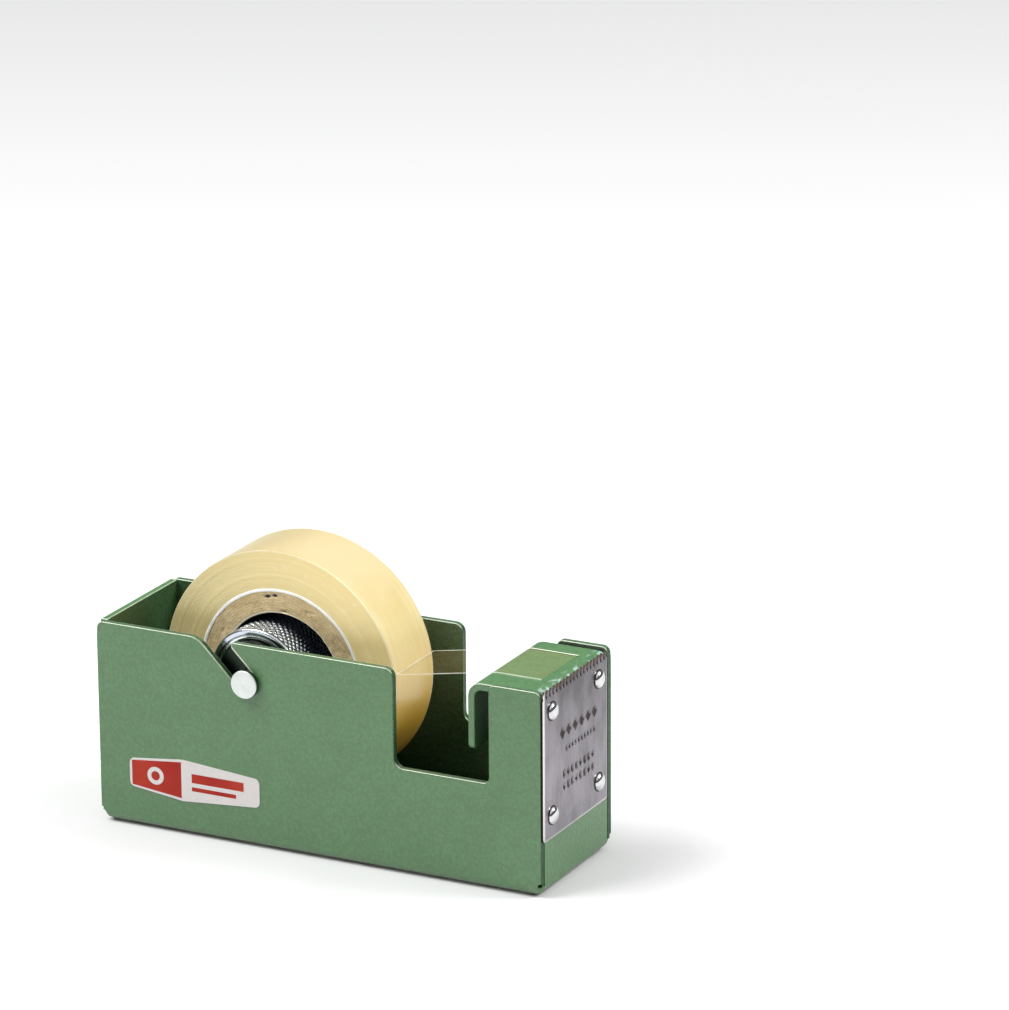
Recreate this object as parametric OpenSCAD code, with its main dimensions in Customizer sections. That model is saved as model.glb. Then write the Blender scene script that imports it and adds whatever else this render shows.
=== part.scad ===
// Desk tape dispenser: a case folded from one steel sheet, a toothed cutter riveted to its end,
// and a roll of tape that hangs on a knurled hub. The hub's axle lifts out of two slanted slots.
// X runs along the case with the cutter at +X, the labelled side faces -Y, and Z is up.
// The origin is on the desk, below the middle of the whole object.

/* [Case] */
// Length of the folded case, over its two end plates
case_length = 100.4; // [96:0.1:110]
// Width of the folded case, over its two side plates
case_width = 31.8; // [30:0.2:36]
// Height of the side plates above the underside of the base
case_height = 42.7; // [41.4:0.1:46]
// Thickness of the steel sheet
sheet = 1.5; // [1:0.1:1.8]
// Outer radius of the folds along the bottom edges
base_fold = 1.8; // [1.8:0.1:3]
// Open slit between each end plate and the side plate beside it
corner_slit = 0.3; // [0.2:0.1:0.6]

/* [Side plates] */
// Distance from the end plate's outer face to the start of the cut-out
notch_start = 67.9; // [66:0.1:72]
// Length of the cut-out between the roll and the cutter post
notch_length = 21.1; // [18:0.1:22]
// Height of the bottom of the cut-out
notch_floor = 22; // [16:0.1:26]

/* [Cutter end] */
// Height of the top of the platform that the tape lies on
platform_top = 42; // [40:0.1:42.4]
// Distance from the end plate's outer face to the outer face of the platform's lip
platform_reach = 16.8; // [15:0.1:18]
// Outer radius of the fold from the platform down into its lip
lip_fold = 3; // [2.5:0.1:3.5]
// Outer radius of the fold from the end plate up into the platform
crest_fold = 2; // [1.8:0.1:2.6]
// Height of the bottom edge of the lip
lip_bottom = 28; // [24:0.1:32]
// Width of the cutter plate
cutter_width = 28.8; // [26:0.1:30]
// Height of the bottom edge of the cutter plate
cutter_bottom = 11.1; // [9:0.1:13]
// How far the tips of the teeth stand above the platform
tooth_rise = 0.6; // [0.3:0.1:1]
// Number of teeth
tooth_count = 19; // [15:1:25]
// Depth of the teeth
tooth_depth = 1.2; // [0.8:0.1:1.6]
// Thickness of the cutter plate
cutter_sheet = 0.5; // [0.4:0.1:0.8]
// Distance of the cutter plate's middle from the case's middle plane
cutter_offset = -1.1; // [-1.2:0.1:0]
// Distance between the rivet columns
rivet_pitch_y = 20.8; // [18:0.1:22]
// Distance between the rivet rows
rivet_pitch_z = 21.8; // [18:0.1:23]
// Radius of a rivet's domed head
rivet_head_r = 2.2; // [1.8:0.1:2.4]
// Height of a rivet's domed head
rivet_head_h = 1; // [0.7:0.1:1.2]

/* [Axle and hub] */
// Distance from the end plate's outer face to the axle
axle_x = 34.7; // [33:0.1:36]
// Height of the axle
axle_z = 34.7; // [33:0.1:35.4]
// Radius of the axle's shaft
axle_r = 2.25; // [2:0.05:2.5]
// Radial clearance of the shaft in its slots
slot_clearance = 0.1; // [0.05:0.05:0.15]
// Radius of the button on each end of the shaft
button_r = 2.95; // [2.8:0.05:3.5]
// Thickness of each button
button_h = 1.1; // [0.8:0.1:1.6]
// Outer radius of the knurled hub
hub_r = 10.2; // [9.8:0.1:11]
// Wall of the knurled hub
hub_wall = 1.3; // [1:0.1:1.6]
// Length of the knurled hub
hub_length = 24.6; // [20:0.2:25]
// Depth of the end discs inside the hub
disc_recess = 3; // [2:0.1:5]

/* [Roll of tape] */
// Width of the tape
tape_width = 16; // [12:0.5:18]
// Distance of the tape's middle from the case's middle plane
tape_offset = 1.1; // [-2:0.1:2]
// Inner radius of the paper core
core_inner_r = 13.2; // [12.8:0.1:13.4]
// Outer radius of the paper core
core_outer_r = 17.7; // [16:0.1:18]
// Outer radius of the white paper ring round the core
liner_r = 18.4; // [18.2:0.1:19]
// Outer radius of the wound tape
winding_r = 26.4; // [20:0.1:26.6]
// Gap between the core and the hub on the side where they meet
hang_gap = 0.1; // [0.05:0.05:0.2]
// Direction in which the roll hangs from the axle, measured up from +X
hang_angle = -17.8; // [-60:0.1:0]
// Thickness of the free end of the tape
leader_sheet = 0.2; // [0.1:0.05:0.3]
// Angle up from +X at which the free end leaves the roll
peel_angle = 9; // [0:1:12]
// Distance from the end plate's outer face to the free end's cut
leader_setback = 3.7; // [2.5:0.1:6]

/* [Label, weight and pad] */
// Length of the label
label_length = 30.2; // [24:0.1:36]
// Height of the label at its tallest place
label_height = 8.9; // [7:0.1:11]
// Height of the label at its two ends
label_end_height = 6.2; // [4:0.1:7]
// Distance from the label's left end to its tallest place
label_peak = 12.4; // [6:0.1:18]
// Distance from the end plate to the label
label_x = 7; // [4:0.1:12]
// Height of the label's middle line
label_z = 11.4; // [9:0.1:15]
// Length of the steel weight in the cutter end
weight_length = 39; // [30:1:40]
// Height of the steel weight
weight_height = 9; // [6:0.5:9]
// Thickness of the pad under the base
pad_sheet = 0.5; // [0.4:0.1:1.5]

/* [Hidden] */
$fn = 64;

half_width = case_width / 2;
// Half the width of the end plates, the platform and the lip
end_half = half_width - sheet - corner_slit;
notch_end = notch_start + notch_length;
lip_x = case_length - platform_reach;
slot_width = 2 * (axle_r + slot_clearance);
// The whole object is longer than the case by the cutter plate and the rivet heads
middle_x = (case_length + cutter_sheet + rivet_head_h) / 2;

// Small round hole where the side, the end and the base meet
relief_r = 0.5;
relief_z = base_fold + 0.4;
// Corner radii of the side plates
outer_corner = 1.5;
slot_mouth_round = 5;
slot_tip_round = 0.8;
notch_round = 2;
notch_far_round = 1.3;
lip_corner = 1;

cutter_top = platform_top + tooth_rise;
cutter_middle_z = (cutter_top + cutter_bottom) / 2;
rivet_shank_r = 1.25;
rivet_tail_r = 2;
rivet_tail_h = 0.8;

// The buttons stand clear of the side plates
button_gap = 0.3;
button_y = half_width + button_gap;
spigot_r = 1.6;
spigot_length = 0.8;
button_chamfer = 0.2;
hub_chamfer = 0.6;
disc_sheet = 2;
disc_clearance = 0.07;
boss_r = 3.6;
boss_gap = 1.1;

hang = core_inner_r - hub_r - hang_gap;
roll_x = axle_x + hang * cos(hang_angle);
roll_z = axle_z + hang * sin(hang_angle);

weight_x = case_length - sheet - 3.5 - weight_length;
weight_width = 26;
screw_r = 1.5;
screw_hole_r = 1.7;
screw_head_r = 2.8;
screw_head_h = screw_head_r - screw_hole_r;
screw_length = 7.5;
screw_positions = [0.2, 0.8];
pad_inset = 2.2;
pad_round = 2;
label_sheet = 0.15;
label_round = 1.2;

// Free end of the tape: it leaves the roll, meets the lip's fold at a tangent and lies on the platform.
peel_gap = 0.3;
peel_x = roll_x + (winding_r + peel_gap) * cos(peel_angle);
peel_z = roll_z + (winding_r + peel_gap) * sin(peel_angle);
fold_x = lip_x + lip_fold;
fold_z = platform_top - lip_fold;
peel_distance = norm([fold_x - peel_x, fold_z - peel_z]);
leader_slope = atan2(fold_z - peel_z, fold_x - peel_x) + asin(lip_fold / peel_distance);
fold_steps = 4;

// Moves a piece from case coordinates (end plate, middle plane, base underside) to the part's frame.
module in_place() {
    translate([-middle_x, 0, pad_sheet])
        children();
}

// Extrudes an outline drawn in X and Z across the middle plane.
module across(width) {
    rotate([90, 0, 0])
        linear_extrude(width, center = true)
            children();
}

// Extrudes an outline drawn in Y and Z along X.
module along(from_x, to_x) {
    translate([from_x, 0, 0])
        rotate([90, 0, 90])
            linear_extrude(to_x - from_x)
                children();
}

// Turns a piece drawn round Z so that it lies round Y, and moves its axis to x, z.
module round_y(x, z, y = 0) {
    translate([x, y, z])
        rotate([-90, 0, 0])
            children();
}

// Sliver between a corner and the arc that rounds it. a and b are unit directions along its two edges.
module corner_sliver(corner, a, b, r) {
    half_angle = acos(a * b) / 2;
    reach = r / tan(half_angle);
    centre = corner + (a + b) / norm(a + b) * r / sin(half_angle);
    difference() {
        polygon([corner, corner + a * reach, corner + b * reach]);
        translate(centre)
            circle(r);
    }
}

// Quarter of the folded sheet's ring, with its outer radius, from the given direction.
module fold(centre, r, direction) {
    translate(centre)
        rotate(direction)
            intersection() {
                difference() {
                    circle(r);
                    circle(r - sheet);
                }
                square(r);
            }
}

module rounded_rectangle(size, r) {
    translate([r, 0])
        square([size.x - 2 * r, size.y]);
    translate([0, r])
        square([size.x, size.y - 2 * r]);
    for (x = [r, size.x - r], y = [r, size.y - r])
        translate([x, y])
            circle(r);
}

// Slanted slot that the axle drops into, from its seat out through the top edge.
module axle_slot() {
    translate([axle_x, axle_z]) {
        circle(slot_width / 2);
        rotate(135)
            translate([0, -slot_width / 2])
                square([case_height, slot_width]);
    }
}

// Outline of one side plate above its bottom fold, with the slot, the cut-out and the cutter post.
module side_outline() {
    slot_half = slot_width * sqrt(0.5);
    // X of the slot's two edges at the top of the plate
    mouth_left = axle_x + axle_z - case_height - slot_half;
    mouth_right = mouth_left + 2 * slot_half;
    left = [-1, 0];
    right = [1, 0];
    up = [0, 1];
    down = [0, -1];
    down_slot = [sqrt(0.5), -sqrt(0.5)];
    difference() {
        translate([0, base_fold])
            square([case_length, case_height - base_fold]);
        translate([notch_start, notch_floor])
            difference() {
                square([notch_length, case_height]);
                corner_sliver([0, 0], right, up, notch_round);
                corner_sliver([notch_length, 0], left, up, notch_far_round);
            }
        axle_slot();
        corner_sliver([0, case_height], right, down, outer_corner);
        corner_sliver([mouth_left, case_height], left, down_slot, slot_mouth_round);
        corner_sliver([mouth_right, case_height], right, down_slot, slot_tip_round);
        corner_sliver([notch_start, case_height], left, down, notch_round);
        corner_sliver([notch_end, case_height], right, down, outer_corner);
        corner_sliver([case_length, case_height], left, down, outer_corner);
    }
}

// Outline in X and Z of both end plates with their folds, the platform and its lip.
module end_outline() {
    fold([base_fold, base_fold], base_fold, 180);
    translate([0, base_fold])
        square([sheet, case_height - base_fold]);
    fold([case_length - base_fold, base_fold], base_fold, 270);
    translate([case_length - sheet, base_fold])
        square([sheet, platform_top - crest_fold - base_fold]);
    fold([case_length - crest_fold, platform_top - crest_fold], crest_fold, 0);
    translate([fold_x, platform_top - sheet])
        square([case_length - crest_fold - fold_x, sheet]);
    fold([fold_x, fold_z], lip_fold, 90);
    translate([lip_x, lip_bottom])
        square([sheet, fold_z - lip_bottom]);
}

// Domed corner that joins the bottom folds of a side and an end.
module base_corner() {
    translate([base_fold, base_fold - half_width, base_fold])
        intersection() {
            difference() {
                sphere(base_fold);
                sphere(base_fold - sheet);
            }
            translate([-base_fold, -base_fold, -base_fold])
                cube(base_fold);
        }
}

// Relief hole at the foot of the slit between a side and an end.
module corner_relief() {
    translate([base_fold, base_fold - half_width, relief_z])
        rotate([0, 90, 225])
            cylinder(h = 2 * base_fold, r = relief_r);
}

// Repeats a piece of the corner at -X, -Y at all four corners of the case.
module at_corners() {
    for (end = [0, 1], side = [0, 1])
        translate([end * case_length, 0, 0])
            mirror([end, 0, 0])
                mirror([0, side, 0])
                    children();
}

module side_plate() {
    translate([0, sheet / 2 - half_width, 0])
        across(sheet)
            side_outline();
    along(base_fold, case_length - base_fold)
        fold([base_fold - half_width, base_fold], base_fold, 180);
}

module rivet_positions() {
    for (side = [-1, 1], row = [-1, 1])
        translate([case_length, cutter_offset + side * rivet_pitch_y / 2, cutter_middle_z + row * rivet_pitch_z / 2])
            rotate([0, 90, 0])
                children();
}

module screw_positions_on_base() {
    for (part = screw_positions)
        translate([weight_x + weight_length * part, 0, 0])
            children();
}

// Plain shank with a countersunk head whose flat face is level with the base's underside.
module countersunk(shank_r, head_r, head_h, length) {
    cylinder(h = length, r = shank_r);
    cylinder(h = head_h, r1 = head_r, r2 = head_r - head_h);
}

// The whole case: base, sides, ends, platform and lip folded from one sheet, with slit corners.
module body_shell() {
    fold_half = half_width - base_fold;
    color("darkseagreen")
        in_place()
            difference() {
                union() {
                    translate([base_fold, -fold_half, 0])
                        cube([case_length - 2 * base_fold, 2 * fold_half, sheet]);
                    side_plate();
                    mirror([0, 1, 0])
                        side_plate();
                    at_corners()
                        base_corner();
                    difference() {
                        across(2 * end_half)
                            end_outline();
                        // the bottom folds of the ends stop at the fold lines of the sides
                        for (side = [0, 1])
                            mirror([0, side, 0])
                                translate([0, fold_half, 0])
                                    cube([case_length, half_width, base_fold]);
                    }
                }
                at_corners()
                    corner_relief();
                for (side = [0, 1])
                    mirror([0, side, 0])
                        along(lip_x, lip_x + sheet)
                            corner_sliver([end_half, lip_bottom], [-1, 0], [0, 1], lip_corner);
                rivet_positions()
                    translate([0, 0, -sheet])
                        cylinder(h = sheet, r = rivet_shank_r);
                screw_positions_on_base()
                    countersunk(screw_hole_r, screw_head_r, screw_head_h, sheet);
            }
}

// Flat steel plate with a saw-toothed top edge.
module cutter_blade() {
    pitch = cutter_width / tooth_count;
    valley = cutter_top - tooth_depth;
    left = cutter_offset - cutter_width / 2;
    right = left + cutter_width;
    teeth = [for (i = [0 : tooth_count - 1], step = [0, 0.5]) [left + (i + step) * pitch,
                                                              valley + 2 * step * tooth_depth]];
    color("silver")
        in_place()
            difference() {
                along(case_length, case_length + cutter_sheet)
                    difference() {
                        polygon(concat([[left, cutter_bottom]], teeth, [[right, valley], [right, cutter_bottom]]));
                        corner_sliver([left, cutter_bottom], [1, 0], [0, 1], lip_corner);
                        corner_sliver([right, cutter_bottom], [-1, 0], [0, 1], lip_corner);
                    }
                rivet_positions()
                    cylinder(h = cutter_sheet, r = rivet_shank_r);
            }
}

// Four domed rivets through the cutter plate and the end plate, with flat tails inside.
module blade_rivets() {
    dome_r = (rivet_head_r ^ 2 + rivet_head_h ^ 2) / (2 * rivet_head_h);
    color("gainsboro")
        in_place()
            rivet_positions() {
                translate([0, 0, cutter_sheet])
                    intersection() {
                        translate([0, 0, rivet_head_h - dome_r])
                            sphere(dome_r);
                        cylinder(h = rivet_head_h, r = rivet_head_r);
                    }
                translate([0, 0, -sheet])
                    cylinder(h = sheet + cutter_sheet, r = rivet_shank_r);
                translate([0, 0, -sheet - rivet_tail_h])
                    cylinder(h = rivet_tail_h, r = rivet_tail_r);
            }
}

// Rounded six-sided outline, tallest near its left end and lower at both ends.
module label_outline() {
    corners = [[label_round, label_end_height], [label_peak, label_height],
               [label_length - label_round, label_end_height]];
    hull()
        for (corner = corners, side = [-1, 1])
            translate([corner.x, side * (corner.y / 2 - label_round)])
                circle(label_round);
}

// Thin sticker on the front side plate.
module front_label() {
    color("firebrick")
        in_place()
            translate([label_x, -half_width - label_sheet / 2, label_z])
                across(label_sheet)
                    label_outline();
}

// Steel weight on the base, below the platform.
module ballast_block() {
    color("dimgray")
        in_place()
            difference() {
                translate([weight_x, -weight_width / 2, sheet])
                    cube([weight_length, weight_width, weight_height]);
                screw_positions_on_base()
                    cylinder(h = screw_length, r = screw_r);
            }
}

module ballast_screws() {
    color("gray")
        in_place()
            screw_positions_on_base()
                countersunk(screw_r, screw_head_r, screw_head_h, screw_length);
}

// Anti-slip pad stuck under the base; the object stands on it.
module base_pad() {
    size = [case_length - 2 * pad_inset, case_width - 2 * pad_inset];
    color("lightgray")
        in_place()
            translate([pad_inset, -size.y / 2, -pad_sheet])
                linear_extrude(pad_sheet)
                    rounded_rectangle(size, pad_round);
}

// Free end of the tape, from the roll over the lip's fold to just short of the teeth.
module tape_leader() {
    // the run over the fold and along the platform, as points on the tape's sticky underside
    over_fold = [for (i = [0 : fold_steps]) let (a = leader_slope * (1 - i / fold_steps)) [-sin(a), cos(a)]];
    cut_x = case_length - leader_setback;
    under = concat([[peel_x, peel_z]], [for (n = over_fold) [fold_x, fold_z] + lip_fold * n],
                   [[cut_x, platform_top]]);
    over = concat([[peel_x, peel_z] + leader_sheet * over_fold[0]],
                  [for (n = over_fold) [fold_x, fold_z] + (lip_fold + leader_sheet) * n],
                  [[cut_x, platform_top + leader_sheet]]);
    color("lightyellow", 0.4)
        in_place()
            translate([0, tape_offset, 0])
                across(tape_width)
                    polygon(concat(under, [for (i = [len(over) - 1 : -1 : 0]) over[i]]));
}

module axle_shaft() {
    color("silver")
        in_place()
            round_y(axle_x, axle_z) {
                cylinder(h = 2 * button_y, r = axle_r, center = true);
                cylinder(h = 2 * (button_y + spigot_length), r = spigot_r, center = true);
            }
}

// Flat turned button pressed on one end of the shaft. side is -1 at the front and 1 at the rear.
module axle_button(side) {
    color("whitesmoke")
        in_place()
            mirror([0, side < 0 ? 1 : 0, 0])
                round_y(axle_x, axle_z, button_y)
                    difference() {
                        union() {
                            cylinder(h = button_h - button_chamfer, r = button_r);
                            translate([0, 0, button_h - button_chamfer])
                                cylinder(h = button_chamfer, r1 = button_r, r2 = button_r - button_chamfer);
                        }
                        cylinder(h = spigot_length, r = spigot_r);
                    }
}

module axle_button_front() {
    axle_button(-1);
}

module axle_button_rear() {
    axle_button(1);
}

// Metal tube that the roll hangs on, with chamfered rims.
module hub_sleeve() {
    inner_r = hub_r - hub_wall;
    half = hub_length / 2;
    color("lightsteelblue")
        in_place()
            round_y(axle_x, axle_z)
                rotate_extrude()
                    polygon([[inner_r, -half], [hub_r - hub_chamfer, -half], [hub_r, hub_chamfer - half],
                             [hub_r, half - hub_chamfer], [hub_r - hub_chamfer, half], [inner_r, half]]);
}

// Disc pressed into one end of the hub, with a boss that keeps the hub clear of the side plate.
module hub_disc(side) {
    outer_y = hub_length / 2 - disc_recess;
    boss_end = half_width - sheet - boss_gap;
    color("slategray")
        in_place()
            mirror([0, side < 0 ? 1 : 0, 0])
                difference() {
                    union() {
                        round_y(axle_x, axle_z, outer_y - disc_sheet)
                            cylinder(h = disc_sheet, r = hub_r - hub_wall);
                        round_y(axle_x, axle_z, outer_y - disc_sheet)
                            cylinder(h = boss_end - outer_y + disc_sheet, r = boss_r);
                    }
                    round_y(axle_x, axle_z, outer_y - 2 * disc_sheet)
                        cylinder(h = hub_length, r = axle_r + disc_clearance);
                }
}

module hub_disc_front() {
    hub_disc(-1);
}

module hub_disc_rear() {
    hub_disc(1);
}

// One ring of the roll, as wide as the tape.
module roll_ring(inner_r, outer_r) {
    in_place()
        round_y(roll_x, roll_z, tape_offset)
            difference() {
                cylinder(h = tape_width, r = outer_r, center = true);
                cylinder(h = 2 * tape_width, r = inner_r, center = true);
            }
}

module paper_core() {
    color("tan")
        roll_ring(core_inner_r, core_outer_r);
}

module core_liner() {
    color("white")
        roll_ring(core_outer_r, liner_r);
}

module tape_winding() {
    color("khaki")
        roll_ring(liner_r, winding_r);
}

body_shell();
cutter_blade();
blade_rivets();
front_label();
ballast_block();
ballast_screws();
base_pad();
tape_leader();
axle_shaft();
axle_button_front();
axle_button_rear();
hub_sleeve();
hub_disc_front();
hub_disc_rear();
paper_core();
core_liner();
tape_winding();
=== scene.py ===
import math
import random

import bpy
from mathutils import Matrix, Vector, noise


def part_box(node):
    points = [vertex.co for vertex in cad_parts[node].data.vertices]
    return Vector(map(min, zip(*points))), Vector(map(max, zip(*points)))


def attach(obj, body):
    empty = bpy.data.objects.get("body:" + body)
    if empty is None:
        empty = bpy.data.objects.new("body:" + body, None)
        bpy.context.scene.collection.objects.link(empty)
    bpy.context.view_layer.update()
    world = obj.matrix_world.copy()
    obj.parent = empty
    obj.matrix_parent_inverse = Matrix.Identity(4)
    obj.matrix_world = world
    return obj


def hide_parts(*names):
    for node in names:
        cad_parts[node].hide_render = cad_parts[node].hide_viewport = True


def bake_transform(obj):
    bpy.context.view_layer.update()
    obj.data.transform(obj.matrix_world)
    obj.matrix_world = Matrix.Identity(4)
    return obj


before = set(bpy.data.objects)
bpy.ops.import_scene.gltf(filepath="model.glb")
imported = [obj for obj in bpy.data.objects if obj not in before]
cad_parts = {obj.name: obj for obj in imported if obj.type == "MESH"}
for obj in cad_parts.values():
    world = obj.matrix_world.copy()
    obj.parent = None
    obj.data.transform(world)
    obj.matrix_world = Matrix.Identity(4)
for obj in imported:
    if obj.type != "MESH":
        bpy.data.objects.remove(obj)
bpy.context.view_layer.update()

# A small desk tape dispenser: painted folded case, riveted toothed cutter, knurled hub and a roll of tape.
# Lengths are metres in the row frame. X runs along the case to the cutter, the label faces -Y.

MM = 0.001
random.seed(7)


# ---------------------------------------------------------------- places taken from the frame

def middle(node):
    low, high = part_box(node)
    return (low + high) / 2


def size(node):
    low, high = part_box(node)
    return high - low


CASE_LOW, CASE_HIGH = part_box("body_shell")
AXLE = middle("axle_shaft")
ROLL = middle("tape_winding")
TAPE_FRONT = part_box("tape_winding")[0].y
TAPE_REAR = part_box("tape_winding")[1].y
HUB_R = size("hub_sleeve").z / 2
CORE_R = size("paper_core").z / 2
LINER_R = size("core_liner").z / 2
WINDING_R = size("tape_winding").z / 2
BUTTON_R = size("axle_button_front").z / 2
SHAFT_R = size("axle_shaft").z / 2
SLOT_HALF = SHAFT_R + 0.1 * MM
BLADE_LOW, BLADE_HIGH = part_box("cutter_blade")
SHEET = 1.5 * MM
CORE_WALL = 4.5 * MM
HUB_WALL = 1.3 * MM

# Room to either side of a plane within which a face or a point counts as lying in it
NEAR = 0.05 * MM
# Radius of a turned profile's point on its own axis
POINT = 0.0001 * MM

# Place of the label's tallest point along it, and the height of its ends, as parts of its length and height
LABEL_PEAK = 0.41
LABEL_END_PART = 0.697


# ---------------------------------------------------------------- mesh helpers

def make_mesh(name, verts, faces, smooth_angle=35):
    """A mesh object whose edges sharper than smooth_angle stay sharp."""
    mesh = bpy.data.meshes.new(name)
    mesh.from_pydata([tuple(v) for v in verts], [], faces)
    mesh.validate()
    mesh.update()
    mesh.shade_smooth()
    mesh.set_sharp_from_angle(angle=math.radians(smooth_angle))
    obj = bpy.data.objects.new(name, mesh)
    bpy.context.scene.collection.objects.link(obj)
    return obj


def lathe(name, profile, axis, segments=128, closed=True, wobble=None, smooth_angle=35):
    """Spins (radius, y) points round the Y axis through axis. wobble(angle, i) gives a point's offset."""
    verts = []
    for s in range(segments):
        angle = 2 * math.pi * s / segments
        for i, (radius, y) in enumerate(profile):
            out, aside = wobble(angle, i) if wobble else (0, 0)
            verts.append((axis.x + (radius + out) * math.cos(angle), y + aside,
                          axis.z + (radius + out) * math.sin(angle)))
    count = len(profile)
    steps = count if closed else count - 1
    faces = []
    for s in range(segments):
        a, b = s * count, (s + 1) % segments * count
        for i in range(steps):
            j = (i + 1) % count
            faces.append((a + i, a + j, b + j, b + i))
    return make_mesh(name, verts, faces, smooth_angle)


def mirrored_y(profile, y_middle):
    """The same profile on the other side of the plane y = y_middle, in reverse order."""
    return [(r, 2 * y_middle - y) for r, y in reversed(profile)]


def finish_piece(obj, body, slot, node, *materials):
    """Gives a piece its materials and its body, and hides the CAD node that it stands for. The slot argument
    is not used.
    """
    for material in materials:
        obj.data.materials.append(material)
    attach(obj, body)
    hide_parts(node)


# ---------------------------------------------------------------- material helpers

class Shader:
    """One node material. Sizes of textures are given in millimetres of the object."""

    def __init__(self, name):
        self.material = bpy.data.materials.new(name)
        self.material.use_nodes = True
        self.tree = self.material.node_tree
        self.bsdf = self.tree.nodes["Principled BSDF"]
        self.place = self.add("ShaderNodeTexCoord").outputs["Object"]

    def add(self, kind, inputs=None, **settings):
        node = self.tree.nodes.new(kind)
        for key, value in settings.items():
            setattr(node, key, value)
        for key, value in (inputs or {}).items():
            if isinstance(value, bpy.types.NodeSocket):
                self.tree.links.new(value, node.inputs[key])
            else:
                node.inputs[key].default_value = value
        return node

    def set(self, **values):
        """Sets or links the Principled shader's sockets; underscores stand for spaces."""
        for key, value in values.items():
            socket = self.bsdf.inputs[key.replace("_", " ")]
            if isinstance(value, bpy.types.NodeSocket):
                self.tree.links.new(value, socket)
            elif isinstance(value, tuple) and len(value) == 3 and len(socket.default_value) == 4:
                socket.default_value = (*value, 1)
            else:
                socket.default_value = value

    def noise(self, size_mm, detail=3, stretch=(1, 1, 1), roughness=0.5):
        place = self.add("ShaderNodeVectorMath", {0: self.place, 1: stretch}, operation="MULTIPLY")
        inputs = {"Vector": place.outputs[0], "Scale": 1 / (size_mm * MM), "Detail": detail,
                  "Roughness": roughness}
        return self.add("ShaderNodeTexNoise", inputs).outputs["Fac"]

    def cells(self, size_mm):
        inputs = {"Vector": self.place, "Scale": 1 / (size_mm * MM), "Smoothness": 0.6}
        return self.add("ShaderNodeTexVoronoi", inputs, feature="SMOOTH_F1").outputs["Distance"]

    def math(self, operation, a, b=0.0, c=0.0, clamp=False):
        node = self.add("ShaderNodeMath", {0: a, 1: b, 2: c}, operation=operation, use_clamp=clamp)
        return node.outputs[0]

    def product(self, *values):
        result = values[0]
        for value in values[1:]:
            result = self.math("MULTIPLY", result, value)
        return result

    def between(self, value, low, high):
        """1 where value lies between low and high, and 0 elsewhere."""
        return self.product(self.math("GREATER_THAN", value, low), self.math("LESS_THAN", value, high))

    def length(self, a, b):
        return self.math("SQRT", self.math("ADD", self.product(a, a), self.product(b, b)))

    def range(self, value, low, high, to_low=0.0, to_high=1.0):
        """Maps low to to_low and high to to_high, and stays at these two outside that range."""
        return self.add("ShaderNodeMapRange", {"Value": value, "From Min": low, "From Max": high,
                                               "To Min": to_low, "To Max": to_high}).outputs["Result"]

    def mix(self, share, a, b):
        """Colour between a and b."""
        node = self.add("ShaderNodeMix", data_type="RGBA")
        for socket, value in ((node.inputs[0], share), (node.inputs[6], a), (node.inputs[7], b)):
            if isinstance(value, bpy.types.NodeSocket):
                self.tree.links.new(value, socket)
            else:
                socket.default_value = (*value, 1) if isinstance(value, tuple) else value
        return node.outputs[2]

    def bump(self, height, depth_mm, strength):
        inputs = {"Height": height, "Distance": depth_mm * MM, "Strength": strength}
        return self.add("ShaderNodeBump", inputs).outputs["Normal"]

    def xyz(self):
        split = self.add("ShaderNodeSeparateXYZ", {0: self.place})
        return split.outputs[0], split.outputs[1], split.outputs[2]

    def radius_from(self, axis):
        """Distance from the Y axis through axis, in metres."""
        x, _, z = self.xyz()
        return self.length(self.math("SUBTRACT", x, axis.x), self.math("SUBTRACT", z, axis.z))


# ---------------------------------------------------------------- materials

def slot_distances(s):
    """Distance from the middle line of the 45 degree slot, positive on its cutter side, and distance up."""
    x, _, z = s.xyz()
    from_axle_x = s.math("SUBTRACT", x, AXLE.x)
    from_axle_z = s.math("SUBTRACT", z, AXLE.z)
    off = s.product(s.math("ADD", from_axle_x, from_axle_z), math.sqrt(0.5))
    up = s.product(s.math("SUBTRACT", from_axle_z, from_axle_x), math.sqrt(0.5))
    return off, up


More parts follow.
